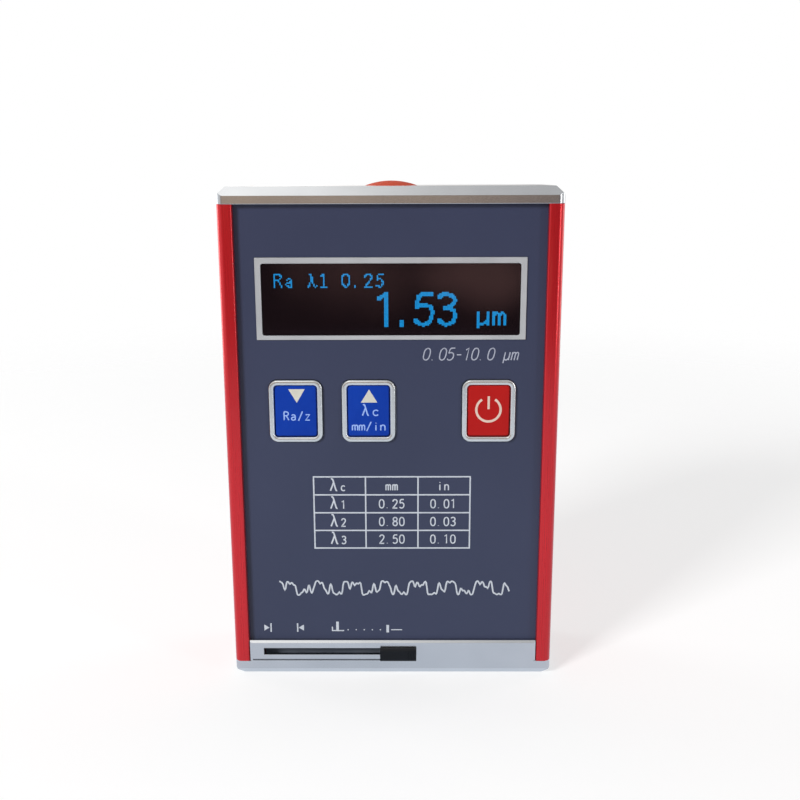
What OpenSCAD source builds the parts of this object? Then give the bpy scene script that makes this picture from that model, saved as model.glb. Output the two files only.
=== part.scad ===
// Pocket surface roughness tester standing on its measuring face.
// Origin at the centre of the bottom face, Z up, the front faces -Y. Sizes in millimetres.

/* [Case] */
// Width across the two rails
case_w = 70; // [69:0.5:73]
// Depth from the rail fronts to the back
case_d = 24; // [23.5:0.5:27]
// Length of the extruded case between the end plates
case_h = 99.5; // [99:0.5:108]
// Wall thickness of the extrusion
wall = 1.8; // [1.6:0.1:2]
// Radius of the long outer edges
corner_r = 1.6; // [1.2:0.1:1.8]
// Width of each front rail
rail_w = 3.3; // [3.1:0.1:3.5]
// Thickness of each rail in front of the panel
lip_t = 1.4; // [1.2:0.1:1.6]
// Rounding of the inner rail edges
lip_r = 0.5; // [0.3:0.1:0.6]
// Thickness of the end plates
plate_t = 3.5; // [3.4:0.1:4]
// Bevel around the outer face of the end plates
plate_bevel = 1.75; // [1:0.25:1.75]

/* [Front] */
// Thickness of the front panel
panel_t = 2; // [1.8:0.1:2.2]
// Gap between a rail and the display frame
bezel_side = 3.95; // [3.8:0.05:4.4]
// Height of the display frame
bezel_h = 16.9; // [16.4:0.1:17.2]
// Width of the band of the display frame
bezel_band = 1.2; // [1:0.1:1.4]
// Width of the lower band of the display frame
bezel_foot = 0.9; // [0.8:0.05:1.1]
// How far the display frame stands out of the panel
bezel_rise = 0.3; // [0.2:0.1:0.5]
// From the top plate down to the middle of the display
display_drop = 19.1; // [18.6:0.1:19.6]
// Width of a key surround
rim_w = 11.3; // [11:0.1:11.5]
// Height of a key surround
rim_h = 13.4; // [13.2:0.1:13.6]
// Width of the band of a key surround
rim_band = 1.15; // [1.05:0.05:1.25]
// How far a key surround stands out of the panel
rim_rise = 0.7; // [0.5:0.1:0.8]
// How far a key stands out of the panel
key_rise = 0.35; // [0.2:0.05:0.4]
// Travel of a key
key_travel = 0.4; // [0.3:0.05:0.4]
// From the top plate down to the middle of the key row
key_drop = 42.7; // [42.4:0.1:43]
// From the left rail to the middle of the down key
key_down_side = 11.6; // [11.4:0.1:11.9]
// From the middle of the down key to the middle of the up key
key_pitch = 15.3; // [15:0.1:15.6]
// From the right rail to the middle of the power key
key_power_side = 11.3; // [11.1:0.1:11.6]

/* [Start button] */
// Diameter of the start button
button_d = 11; // [10.6:0.1:11.4]
// How far the dome of the start button stands out
button_rise = 1; // [0.9:0.1:1.4]
// Travel of the start button
button_travel = 0.6; // [0.4:0.1:0.6]

/* [Slider] */
// Height of the bottom strip above the bottom plate
strip_up = 4.8; // [4.7:0.1:5]
// Bevel along the strip edges
strip_bevel = 0.45; // [0.3:0.05:0.5]
// Width of the slide knob
knob_w = 8; // [7.9:0.1:8.2]
// Height of the slide knob
knob_h = 2.85; // [2.8:0.05:3]
// How far the slide knob stands out of the strip
knob_rise = 1.1; // [0.8:0.1:1.3]
// Sideways place of the knob with the shutter open
knob_x = 1.25; // [1.15:0.05:1.35]
// Length of the stylus window
window_l = 13.5; // [13:0.1:13.5]
// Width of the stylus window
window_w = 5.2; // [4.8:0.1:5.4]
// Thickness of the shutter plate
shutter_t = 0.95; // [0.8:0.05:0.95]

/* [Drive] */
// Length of the measuring stroke
stroke = 6; // [5.5:0.1:6]
// Diameter of the lead screw
screw_d = 3; // [2.8:0.1:3.1]
// Diameter of the guide rods
rod_d = 2; // [1.8:0.1:2.2]
// Diameter of the gear motor
motor_d = 9; // [8.5:0.1:9.4]
// Length of the gear motor
motor_l = 13; // [12:0.5:13]
// From the left inner wall to the stylus at the start of the stroke
tip_side = 12.4; // [12.2:0.1:12.6]
// Gap between the stylus tip and the plane of the bottom face
tip_gap = 0.05; // [0.05:0.01:0.1]

/* [Hidden] */
$fn = 64;

// fits, and how far cuts run past a face and joined shapes sink into each other
run_fit = 0.05;
side_fit = 0.1;
over = 1;
sink = 0.5;

// case planes
front_y = -case_d/2;
back_y = case_d/2;
case_z0 = plate_t;
case_z1 = plate_t + case_h;
top_z = case_z1 + plate_t;
rail_in = case_w/2 - rail_w;
cav_x = case_w/2 - wall;
cav_back = back_y - wall;
panel_front = front_y + lip_t;
panel_back = panel_front + panel_t;
rib_t = 1.1;
rib_back = panel_back + rib_t;

// screw ports and end plate screws
port_r = 2.2;
port_inset = 4.8;
port_front_gap = 0.2;
port_back_gap = 0.6;
port_x = case_w/2 - port_inset;
port_front_y = panel_back + port_r + port_front_gap;
port_back_y = cav_back - port_r - port_back_gap;
port_web = 2.4;
end_screw_d = 2.5;
end_screw_head_d = 4.4;
end_screw_head_h = 1.3;
end_screw_l = 9.5;
port_bore_d = end_screw_d + 2*run_fit;
recess_w = 0.6;
recess_l = 2;
recess_t = 0.7;

// display
display_z = case_z1 - display_drop;
bezel_w = 2*(rail_in - bezel_side);
bezel_r = 0.5;
bezel_flange = 0.6;
bezel_flange_t = 0.8;
glass_w = bezel_w - 2*bezel_band;
glass_h = bezel_h - bezel_band - bezel_foot;
glass_z = display_z + (bezel_foot - bezel_band)/2;
glass_t = 1.3;
glass_set = 0.1;
glass_back = panel_front - glass_set + glass_t;
module_gap = 0.2;
module_in = 1;
module_side = 0.15;
module_over = 1.95;
module_w = bezel_w - 2*module_side;
module_h = bezel_h + 2*module_over;
module_t = 1.6;
module_front = panel_back + bezel_flange_t;

// keys
key_z = case_z1 - key_drop;
key_down_x = -rail_in + key_down_side;
key_up_x = key_down_x + key_pitch;
key_power_x = rail_in - key_power_side;
rim_r = 1.9;
rim_in_r = 0.7;
rim_flange = 1;
rim_flange_t = 1;
rim_in_w = rim_w - 2*rim_band;
rim_in_h = rim_h - 2*rim_band;
key_w = rim_in_w - 2*side_fit;
key_h = rim_in_h - 2*side_fit;
key_r = rim_in_r - side_fit;
key_flange = 0.8;
key_flange_t = 0.9;
key_stem_d = 3;
key_stem_l = 0.65;
key_back = panel_back + rim_flange_t + side_fit + key_flange_t;
switch_w = 6;
switch_h = 3;
switch_stem_d = 3.4;
switch_stem_l = 0.45;
switch_front = key_back + key_stem_l + key_travel + side_fit;

// main board on the switches, its posts and the battery
board_side = 2.2;
board_up = 20.5;
board_t = 1.6;
board_front = switch_front + switch_stem_l + switch_h;
board_back = board_front + board_t;
board_x = cav_x - board_side;
board_z0 = plate_t + board_up;
cup_h = 8.4;
board_top_gap = 1;
board_z1 = case_z1 - cup_h - board_top_gap;
post_d = 4;
post_side = 7.2;
post_x = cav_x - post_side;
post_edge = 4;
post_gap = 0.7;
post_floor = 1;
post_z_low = board_z0 + post_edge;
post_z_high = display_z - module_h/2 - post_d/2 - post_gap;
board_screw_d = 1.9;
board_screw_head_d = 3.6;
board_screw_head_h = 1.3;
board_screw_l = 5.7;
battery_side = 8.2;
battery_t = 7.6;
battery_h = 34;
battery_up = 33;
battery_x = cav_x - battery_side;
battery_z = plate_t + battery_up;

// start button and its switch
bore_d = button_d + 2*side_fit;
dome_r = (button_d*button_d/4 + button_rise*button_rise)/(2*button_rise);
button_flange_w = 1.5;
button_flange_d = button_d + 2*button_flange_w;
button_flange_t = 1.3;
button_flange_z = case_z1 - side_fit;
button_stem_d = 4;
button_stem_l = 2;
cup_wall = 0.9;
cup_d = button_flange_d + 2*side_fit + 2*cup_wall;
cup_floor = 2.5;
cup_z = case_z1 - cup_h;
cup_stem_z = button_flange_z - button_flange_t - button_stem_l - button_travel - side_fit;

// stylus, its window, and the strip with the slider and shutter
tip_x = -cav_x + tip_side;
window_x = tip_x - stroke/2;
knob_travel = knob_x - window_x;
strip_x = rail_in - side_fit;
strip_back = panel_back + side_fit;
strip_end_in = 0.2;
strip_top = plate_t + strip_up;
slot_up = 1.55;
slot_z0 = plate_t + slot_up;
slot_h = 1.55;
slot_lip = 1;
neck_w = 6.6;
neck_fit = 0.06;
neck_z0 = slot_z0 + neck_fit;
neck_z1 = slot_z0 + slot_h - neck_fit;
slot_left = 1.4;
slot_right = 0.6;
slot_x0 = knob_x - knob_travel - neck_w/2 - slot_left;
slot_x1 = knob_x + neck_w/2 + slot_right;
way_end = 0.2;
way_x0 = slot_x0 - way_end;
way_x1 = slot_x1 + way_end;
seam_in = 0.6;
seam_depth = 0.8;
seam_up = 0.15;
seam_h = 0.35;
knob_gap = 0.05;
knob_drop = 1.18;
knob_z = slot_z0 - knob_drop;
knob_bevel = 0.3;
groove_n = 3;
groove_w = 0.2;
groove_depth = 0.12;
groove_pitch = 0.6;
pocket_floor = 1.2;
pocket_end = 0.4;
pocket_lap = 1;
pocket_half = window_w/2 + pocket_lap;
pocket_front = front_y + slot_lip;
shutter_lap = 1.05;
shutter_l = window_l + 2*shutter_lap;
shutter_z = pocket_floor + run_fit;
shutter_half = pocket_half - side_fit;
carrier_t = 2.3;
carrier_front = pocket_front + side_fit;
carrier_back = carrier_front + carrier_t;
guard_t = 0.5;
guard_gap = 0.15;
guard_z0 = shutter_z + shutter_t + guard_gap;
guard_z1 = strip_top - side_fit;

// drive: motor at the right, frame and carriage towards the stylus
drive_y = 5.8;
drive_up = 8.5;
drive_z = plate_t + drive_up;
motor_gap = 0.5;
motor_shift = 0.8;
frame_x1 = port_x - port_r - motor_gap - motor_l;
frame_side = 17.7;
frame_x0 = -cav_x + frame_side;
frame_t = 2;
frame_y0 = -7;
frame_y1 = 9.5;
frame_up = 18;
frame_z1 = plate_t + frame_up;
frame_roof_t = 1.5;
frame_gate_half = 3.4;
foot_y0 = 4.8;
foot_t = 1.5;
leg_gap = 0.6;
leg_z0 = neck_z1 + leg_gap;
frame_screw_in = 6.5;
frame_screw_y = 7.2;
frame_screw_d = 2;
frame_screw_head_d = 3.6;
frame_screw_head_h = 1.2;
frame_screw_end = 1.2;
screw_shaft_d = 2;
screw_shaft_l = 3.5;
car_gap = 1.5;
car_x1 = frame_x1 - frame_t - car_gap;
car_x0 = frame_x0 + frame_t + stroke + 3*car_gap;
car_y0 = -7;
car_y1 = 9.2;
car_up = 4.1;
car_h = 11.9;
car_z0 = plate_t + car_up;
car_z1 = car_z0 + car_h;
car_roof_t = 3.3;
pin_d = 2;
pin_half = 4.2;
pin_in = 6;
pivot_x = car_x1 - pin_in;
pivot_up = 6.5;
pivot_z = plate_t + pivot_up;
rod_front_y = -5;
rod_front_up = 11.5;
rod_front_z = plate_t + rod_front_up;
rod_back_y = 6.2;
rod_back_up = 13.7;
rod_back_z = plate_t + rod_back_up;

// pickup
pick_half = 2.4;
pick_fit = 0.3;
pick_front = 6;
pick_rear = 4;
pick_h = 4.4;
tube_d = 4.2;
nose_half = 1.6;
nose_l = 4.3;
nose_tip = 3.2;
nose_heel = 1.2;
nose_bevel = 1.5;
nose_h = 8.4;
nose_root_h = 2.6;
nose_clear = 0.8;
nose_z0 = shutter_z + shutter_t + nose_clear;
skid_r = 0.9;
skid_lead = 2;
skid_neck = 0.8;
skid_gap = 0.1;
stylus_d = 0.9;
stylus_cone = 1;
stylus_end_d = 0.08;

red = [0.66, 0.09, 0.11];
silver = [0.74, 0.75, 0.77];
navy = [0.25, 0.28, 0.37];
blue = [0.1, 0.25, 0.65];
black = [0.06, 0.06, 0.07];
steel = [0.6, 0.61, 0.63];
green = [0.1, 0.35, 0.2];
brass = [0.75, 0.6, 0.3];

// flat rectangle with rounded corners, centred
module round_rect(w, h, r) {
    square([w - 2*r, h], center = true);
    square([w, h - 2*r], center = true);
    for (sx = [-1, 1])
        for (sy = [-1, 1])
            translate([sx*(w/2 - r), sy*(h/2 - r)])
                circle(r);
}

// flat rectangle from its two corners
module span(x0, y0, x1, y1) {
    translate([x0, y0])
        square([x1 - x0, y1 - y0]);
}

// box from its two corners
module block(x0, y0, z0, x1, y1, z1) {
    translate([x0, y0, z0])
        cube([x1 - x0, y1 - y0, z1 - z0]);
}

// lays a flat shape drawn in X and Z into the front, from y0 back to y1
module front_slab(x, z, y0, y1) {
    translate([x, y1, z])
        rotate([90, 0, 0])
            linear_extrude(y1 - y0)
                children();
}

// round bar along X
module bar_x(x0, x1, y, z, d) {
    translate([x0, y, z])
        rotate([0, 90, 0])
            cylinder(h = x1 - x0, d = d);
}

// round bar along Y
module bar_y(x, y0, y1, z, d) {
    translate([x, y0, z])
        rotate([-90, 0, 0])
            cylinder(h = y1 - y0, d = d);
}

module port_places() {
    for (sx = [-1, 1])
        for (y = [port_front_y, port_back_y])
            translate([sx*port_x, y, 0])
                children();
}

module frame_screw_places() {
    for (x = [frame_x0 + frame_screw_in, frame_x1 - frame_screw_in])
        translate([x, frame_screw_y, 0])
            children();
}

module board_post_places() {
    for (sx = [-1, 1])
        for (z = [post_z_low, post_z_high])
            translate([sx*post_x, 0, z])
                children();
}

module case_section() {
    difference() {
        union() {
            difference() {
                round_rect(case_w, case_d, corner_r);
                span(-rail_in, front_y - over, rail_in, rib_back);
                span(-cav_x, panel_front, cav_x, panel_back);
                span(-cav_x, rib_back, cav_x, cav_back);
                for (sx = [-1, 1])
                    translate([sx*(rail_in + lip_r/2), front_y + lip_r/2])
                        square(lip_r, center = true);
            }
            for (sx = [-1, 1]) {
                translate([sx*(rail_in + lip_r), front_y + lip_r])
                    circle(lip_r);
                for (y = [port_front_y, port_back_y]) {
                    translate([sx*port_x, y])
                        circle(port_r);
                    translate([sx*(port_x + cav_x + wall/2)/2, y])
                        square([cav_x + wall/2 - port_x, port_web], center = true);
                }
            }
        }
        for (sx = [-1, 1])
            for (y = [port_front_y, port_back_y])
                translate([sx*port_x, y])
                    circle(d = port_bore_d);
    }
}

module case_extrusion() {
    color(red)
        translate([0, 0, case_z0])
            linear_extrude(case_h)
                case_section();
}

// outline of a plate seen from its edge, bevelled on the outer side
module plate_edge(w) {
    polygon([[-w/2, 0], [w/2, 0], [w/2, plate_t - plate_bevel], [w/2 - plate_bevel, plate_t],
             [-w/2 + plate_bevel, plate_t], [-w/2, plate_t - plate_bevel]]);
}

module plate_blank() {
    intersection() {
        linear_extrude(plate_t)
            round_rect(case_w, case_d, corner_r);
        rotate([90, 0, 90])
            linear_extrude(case_w + over, center = true)
                plate_edge(case_d);
        rotate([90, 0, 0])
            linear_extrude(case_d + over, center = true)
                plate_edge(case_w);
    }
}

// countersunk hole through a plate, head side at the top
module sunk_hole() {
    translate([0, 0, -over])
        cylinder(h = plate_t + 2*over, d = port_bore_d);
    translate([0, 0, plate_t - end_screw_head_h])
        cylinder(h = end_screw_head_h, d1 = port_bore_d, d2 = end_screw_head_d + 2*run_fit);
}

// countersunk cross-recessed screw, head side at the top of the plate
module sunk_screw() {
    difference() {
        union() {
            translate([0, 0, plate_t - end_screw_l])
                cylinder(h = end_screw_l - end_screw_head_h/2, d = end_screw_d);
            translate([0, 0, plate_t - end_screw_head_h])
                cylinder(h = end_screw_head_h, d1 = end_screw_d, d2 = end_screw_head_d);
        }
        translate([0, 0, plate_t]) {
            cube([recess_l, recess_w, 2*recess_t], center = true);
            cube([recess_w, recess_l, 2*recess_t], center = true);
        }
    }
}

module top_plate() {
    color(silver)
        translate([0, 0, case_z1])
            difference() {
                plate_blank();
                translate([0, 0, -over])
                    cylinder(h = plate_t + 2*over, d = bore_d);
                port_places()
                    sunk_hole();
            }
}

module top_screws() {
    color(steel)
        translate([0, 0, case_z1])
            port_places()
                sunk_screw();
}

module bottom_screws() {
    color(steel)
        translate([0, 0, plate_t])
            mirror([0, 0, 1])
                port_places()
                    sunk_screw();
}

module strip_bar() {
    intersection() {
        translate([0, 0, plate_t - sink])
            linear_extrude(strip_up + sink)
                polygon([[-strip_x, strip_back], [-strip_x, front_y + strip_end_in],
                         [-strip_x + strip_bevel, front_y], [strip_x - strip_bevel, front_y],
                         [strip_x, front_y + strip_end_in], [strip_x, strip_back]]);
        rotate([90, 0, 90])
            linear_extrude(case_w, center = true)
                polygon([[front_y, 0], [strip_back, 0], [strip_back, strip_top],
                         [front_y + strip_bevel, strip_top], [front_y, strip_top - strip_bevel]]);
    }
}

module bottom_plate() {
    color(silver)
        difference() {
            union() {
                translate([0, 0, plate_t])
                    mirror([0, 0, 1])
                        plate_blank();
                strip_bar();
            }
            // shutter pocket, the way of its carrier, and the stylus window
            block(knob_x - knob_travel - shutter_l/2 - pocket_end, -pocket_half, pocket_floor,
                  knob_x + shutter_l/2 + pocket_end, pocket_half, plate_t + over);
            block(way_x0, pocket_front, pocket_floor, way_x1, -pocket_half + side_fit, slot_z0 + slot_h);
            block(window_x - window_l/2, -window_w/2, -over, window_x + window_l/2, window_w/2, plate_t);
            // slot for the knob neck, with the fine seam below it
            block(slot_x0, front_y - over, slot_z0, slot_x1, pocket_front + run_fit, slot_z0 + slot_h);
            block(-strip_x + seam_in, front_y - over, plate_t + seam_up,
                  knob_x, front_y + seam_depth, plate_t + seam_up + seam_h);
            translate([0, 0, plate_t])
                mirror([0, 0, 1])
                    port_places()
                        sunk_hole();
            frame_screw_places()
                translate([0, 0, frame_screw_end])
                    cylinder(h = plate_t, d = frame_screw_d + 2*run_fit);
        }
}

module front_panel() {
    color(navy)
        difference() {
            block(-cav_x + side_fit, panel_front, strip_top, cav_x - side_fit, panel_back, case_z1);
            front_slab(0, display_z, panel_front - over, panel_back + over)
                square([bezel_w + 2*run_fit, bezel_h + 2*run_fit], center = true);
            for (x = [key_down_x, key_up_x, key_power_x])
                front_slab(x, key_z, panel_front - over, panel_back + over)
                    round_rect(rim_w + 2*side_fit, rim_h + 2*side_fit, rim_r + side_fit);
        }
}

module display_bezel() {
    color(silver)
        difference() {
            union() {
                front_slab(0, display_z, panel_front - bezel_rise, module_front)
                    square([bezel_w, bezel_h], center = true);
                front_slab(0, display_z, panel_back, module_front)
                    square([bezel_w + 2*bezel_flange, bezel_h + 2*bezel_flange], center = true);
            }
            front_slab(0, glass_z, panel_front - over, module_front + over)
                round_rect(glass_w, glass_h, bezel_r);
        }
}

module display_window() {
    color(black)
        front_slab(0, glass_z, panel_front - glass_set, glass_back)
            round_rect(glass_w - 2*run_fit, glass_h - 2*run_fit, bezel_r - run_fit);
}

module display_module() {
    color(black) {
        front_slab(0, glass_z, glass_back + module_gap, module_front + sink)
            square([glass_w - 2*module_in, glass_h - 2*module_in], center = true);
        front_slab(0, display_z, module_front, module_front + module_t)
            square([module_w, module_h], center = true);
    }
}

module key_rim(x) {
    color(silver)
        difference() {
            union() {
                front_slab(x, key_z, panel_front - rim_rise, panel_back + rim_flange_t)
                    round_rect(rim_w, rim_h, rim_r);
                front_slab(x, key_z, panel_back, panel_back + rim_flange_t)
                    square([rim_w + 2*rim_flange, rim_h + 2*rim_flange], center = true);
            }
            front_slab(x, key_z, panel_front - rim_rise - over, panel_back + rim_flange_t + over)
                round_rect(rim_in_w, rim_in_h, rim_in_r);
        }
}

module rim_down() {
    key_rim(key_down_x);
}

module rim_up() {
    key_rim(key_up_x);
}

module rim_power() {
    key_rim(key_power_x);
}

module key_cap(x) {
    front_slab(x, key_z, panel_front - key_rise, key_back)
        round_rect(key_w, key_h, key_r);
    front_slab(x, key_z, key_back - key_flange_t, key_back)
        square([key_w + 2*key_flange, key_h + 2*key_flange], center = true);
    bar_y(x, key_back - sink, key_back + key_stem_l, key_z, key_stem_d);
}

module key_down() {
    color(blue)
        key_cap(key_down_x);
}

module key_up() {
    color(blue)
        key_cap(key_up_x);
}

module key_power() {
    color(red)
        key_cap(key_power_x);
}

module main_board() {
    color(green)
        difference() {
            block(-board_x, board_front, board_z0, board_x, board_back, board_z1);
            board_post_places()
                bar_y(0, board_front - over, board_back + over, 0, board_screw_d + 2*side_fit);
        }
}

module key_switch(x) {
    color(black) {
        front_slab(x, key_z, switch_front + switch_stem_l, board_front)
            square(switch_w, center = true);
        bar_y(x, switch_front, switch_front + switch_stem_l + sink, key_z, switch_stem_d);
    }
}

module switch_down() {
    key_switch(key_down_x);
}

module switch_up() {
    key_switch(key_up_x);
}

module switch_power() {
    key_switch(key_power_x);
}

module board_posts() {
    color(brass)
        board_post_places()
            difference() {
                bar_y(0, panel_back, board_front, 0, post_d);
                bar_y(0, panel_back + post_floor, board_front + over, 0, board_screw_d + 2*run_fit);
            }
}

module board_screws() {
    color(steel)
        board_post_places() {
            bar_y(0, board_back - board_screw_l, board_back + sink, 0, board_screw_d);
            bar_y(0, board_back, board_back + board_screw_head_h, 0, board_screw_head_d);
        }
}

module battery() {
    color(black)
        block(-battery_x, cav_back - battery_t, battery_z, battery_x, cav_back, battery_z + battery_h);
}

module start_button() {
    color(red) {
        translate([0, 0, button_flange_z - button_flange_t])
            cylinder(h = button_flange_t, d = button_flange_d);
        translate([0, 0, button_flange_z - sink])
            cylinder(h = top_z - button_flange_z + sink, d = button_d);
        intersection() {
            translate([0, 0, top_z + button_rise - dome_r])
                sphere(dome_r);
            translate([0, 0, top_z - sink])
                cylinder(h = button_rise + 2*sink, d = button_d);
        }
        translate([0, 0, button_flange_z - button_flange_t - button_stem_l])
            cylinder(h = button_stem_l + sink, d = button_stem_d);
    }
}

module start_switch() {
    color(black) {
        difference() {
            translate([0, 0, cup_z])
                cylinder(h = cup_h, d = cup_d);
            translate([0, 0, cup_z + cup_floor])
                cylinder(h = cup_h, d = cup_d - 2*cup_wall);
        }
        translate([0, 0, cup_z + cup_floor - sink])
            cylinder(h = cup_stem_z - cup_z - cup_floor + sink, d = button_stem_d);
    }
}

module slide_knob() {
    color(black) {
        difference() {
            intersection() {
                block(knob_x - knob_w/2, front_y - knob_rise, knob_z,
                      knob_x + knob_w/2, front_y - knob_gap, knob_z + knob_h);
                rotate([90, 0, 90])
                    linear_extrude(case_w, center = true)
                        polygon([[front_y, knob_z], [front_y, knob_z + knob_h],
                                 [front_y - knob_rise + knob_bevel, knob_z + knob_h],
                                 [front_y - knob_rise, knob_z + knob_h - knob_bevel],
                                 [front_y - knob_rise, knob_z + knob_bevel],
                                 [front_y - knob_rise + knob_bevel, knob_z]]);
            }
            // finger grooves near the right end
            for (i = [1 : groove_n])
                translate([knob_x + knob_w/2 - i*groove_pitch, front_y - knob_rise, knob_z + knob_h/2])
                    cube([groove_w, 2*groove_depth, knob_h + over], center = true);
        }
        block(knob_x - neck_w/2, front_y - knob_gap - sink, neck_z0,
              knob_x + neck_w/2, carrier_front, neck_z1);
    }
}

module shutter() {
    color(steel) {
        block(knob_x - shutter_l/2, -shutter_half, shutter_z,
              knob_x + shutter_l/2, shutter_half, shutter_z + shutter_t);
        block(knob_x - neck_w/2, carrier_front, shutter_z,
              knob_x + neck_w/2, -shutter_half + sink, shutter_z + shutter_t);
        block(knob_x - neck_w/2, carrier_front, shutter_z, knob_x + neck_w/2, carrier_back, neck_z1);
    }
}

module slot_guard() {
    color(black)
        block(way_x0 + side_fit, strip_back, guard_z0, way_x1 - side_fit, strip_back + guard_t, guard_z1);
}

module drive_frame() {
    color(silver)
        difference() {
            union() {
                // motor cheek, roof and rear foot
                block(frame_x1 - frame_t, frame_y0, plate_t, frame_x1, frame_y1, frame_z1);
                block(frame_x0, frame_y0, frame_z1 - frame_roof_t, frame_x1, frame_y1, frame_z1);
                block(frame_x0, foot_y0, plate_t, frame_x1, frame_y1, plate_t + foot_t);
                // stylus cheek, open in the middle for the pickup
                block(frame_x0, frame_gate_half, leg_z0, frame_x0 + frame_t, frame_y1, frame_z1);
                block(frame_x0, foot_y0, plate_t, frame_x0 + frame_t, frame_y1, frame_z1);
                block(frame_x0, frame_y0, leg_z0, frame_x0 + frame_t, -frame_gate_half, frame_z1);
            }
            bar_x(frame_x0 - over, frame_x1 + over, rod_front_y, rod_front_z, rod_d + 2*run_fit);
            bar_x(frame_x0 - over, frame_x1 + over, rod_back_y, rod_back_z, rod_d + 2*run_fit);
            bar_x(frame_x0 - over, frame_x1 + over, drive_y, drive_z, screw_shaft_d + 2*run_fit);
            frame_screw_places()
                translate([0, 0, plate_t - over])
                    cylinder(h = foot_t + 2*over, d = frame_screw_d + 2*run_fit);
        }
}

module frame_screws() {
    color(steel)
        frame_screw_places() {
            translate([0, 0, frame_screw_end])
                cylinder(h = plate_t + foot_t - frame_screw_end + sink, d = frame_screw_d);
            translate([0, 0, plate_t + foot_t])
                cylinder(h = frame_screw_head_h, d = frame_screw_head_d);
        }
}

module motor() {
    color(steel)
        difference() {
            bar_x(frame_x1, frame_x1 + motor_l, drive_y - motor_shift, drive_z, motor_d);
            bar_x(frame_x1 - over, frame_x1 + screw_shaft_l + side_fit, drive_y, drive_z,
                  screw_shaft_d + 2*run_fit);
        }
}

module lead_screw() {
    color(steel) {
        bar_x(frame_x0 + frame_t + side_fit, frame_x1 - frame_t - side_fit, drive_y, drive_z, screw_d);
        bar_x(frame_x0 + side_fit, frame_x1 + screw_shaft_l, drive_y, drive_z, screw_shaft_d);
    }
}

module guide_rod_front() {
    color(steel)
        bar_x(frame_x0, frame_x1, rod_front_y, rod_front_z, rod_d);
}

module guide_rod_back() {
    color(steel)
        bar_x(frame_x0, frame_x1, rod_back_y, rod_back_z, rod_d);
}

module carriage() {
    color(brass)
        difference() {
            block(car_x0, car_y0, car_z0, car_x1, car_y1, car_z1);
            block(car_x0 - over, -pick_half - pick_fit, car_z0 - over,
                  car_x1 + over, pick_half + pick_fit, car_z1 - car_roof_t);
            bar_x(car_x0 - over, car_x1 + over, rod_front_y, rod_front_z, rod_d + 2*run_fit);
            bar_x(car_x0 - over, car_x1 + over, rod_back_y, rod_back_z, rod_d + 2*run_fit);
            bar_x(car_x0 - over, car_x1 + over, drive_y, drive_z, screw_d + 2*run_fit);
            bar_y(pivot_x, -pin_half, pin_half, pivot_z, pin_d);
        }
}

module pivot_pin() {
    color(steel)
        bar_y(pivot_x, -pin_half, pin_half, pivot_z, pin_d);
}

module pickup() {
    nose_x1 = tip_x + nose_l;
    nose_x0 = tip_x - nose_tip;
    nose_z1 = nose_z0 + nose_h;
    skid_x = tip_x - skid_lead;
    skid_z = skid_gap + skid_r;
    color(silver)
        difference() {
            union() {
                block(pivot_x - pick_front, -pick_half, pivot_z - pick_h/2,
                      pivot_x + pick_rear, pick_half, pivot_z + pick_h/2);
                bar_x(nose_x1 - sink, pivot_x - pick_front + sink, 0, pivot_z, tube_d);
                front_slab(0, 0, -nose_half, nose_half)
                    polygon([[nose_x1, nose_z1], [nose_x1, nose_z1 - nose_root_h],
                             [tip_x + nose_heel, nose_z0], [nose_x0, nose_z0],
                             [nose_x0, nose_z1 - nose_bevel], [nose_x0 + nose_bevel, nose_z1]]);
                translate([skid_x, 0, skid_z])
                    sphere(skid_r);
                translate([skid_x, 0, skid_z])
                    cylinder(h = nose_z0 - skid_z + sink, r = skid_r*skid_neck);
            }
            bar_y(pivot_x, -pick_half - over, pick_half + over, pivot_z, pin_d + 2*run_fit);
        }
}

module stylus() {
    color(steel) {
        translate([tip_x, 0, tip_gap])
            cylinder(h = stylus_cone, d1 = stylus_end_d, d2 = stylus_d);
        translate([tip_x, 0, tip_gap + stylus_cone])
            cylinder(h = nose_z0 - tip_gap - stylus_cone, d = stylus_d);
    }
}

case_extrusion();
top_plate();
bottom_plate();
front_panel();
display_bezel();
display_window();
display_module();
rim_down();
rim_up();
rim_power();
key_down();
key_up();
key_power();
main_board();
switch_down();
switch_up();
switch_power();
board_posts();
board_screws();
battery();
start_button();
start_switch();
top_screws();
bottom_screws();
slide_knob();
shutter();
slot_guard();
drive_frame();
frame_screws();
motor();
lead_screw();
guide_rod_front();
guide_rod_back();
carriage();
pivot_pin();
pickup();
stylus();
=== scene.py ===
import math
import bmesh
import bpy
import numpy as np
from mathutils import Matrix


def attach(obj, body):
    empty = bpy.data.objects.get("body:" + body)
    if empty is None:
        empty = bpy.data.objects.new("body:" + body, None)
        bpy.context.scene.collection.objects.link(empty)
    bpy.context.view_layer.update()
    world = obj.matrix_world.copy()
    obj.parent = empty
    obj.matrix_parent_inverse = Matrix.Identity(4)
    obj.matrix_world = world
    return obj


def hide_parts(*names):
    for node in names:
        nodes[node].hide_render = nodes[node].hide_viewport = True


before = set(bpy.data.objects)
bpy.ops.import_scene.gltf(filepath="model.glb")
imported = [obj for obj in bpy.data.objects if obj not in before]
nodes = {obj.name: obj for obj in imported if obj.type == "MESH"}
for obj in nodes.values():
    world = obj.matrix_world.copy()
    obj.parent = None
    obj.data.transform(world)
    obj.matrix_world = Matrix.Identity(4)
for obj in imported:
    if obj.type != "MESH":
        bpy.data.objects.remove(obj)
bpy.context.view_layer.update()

mm = 0.001


def linear(r, g, b):
    # screen colour 0..255 to linear light: c/12.92 near black, ((c + 0.055)/1.055)^2.4 above
    c = np.array([r, g, b]) / 255.0
    return tuple(np.where(c <= 0.04045, c / 12.92, ((c + 0.055) / 1.055) ** 2.4))


def newObject(name, data):
    obj = bpy.data.objects.new(name, data)
    bpy.context.scene.collection.objects.link(obj)
    return obj


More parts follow.
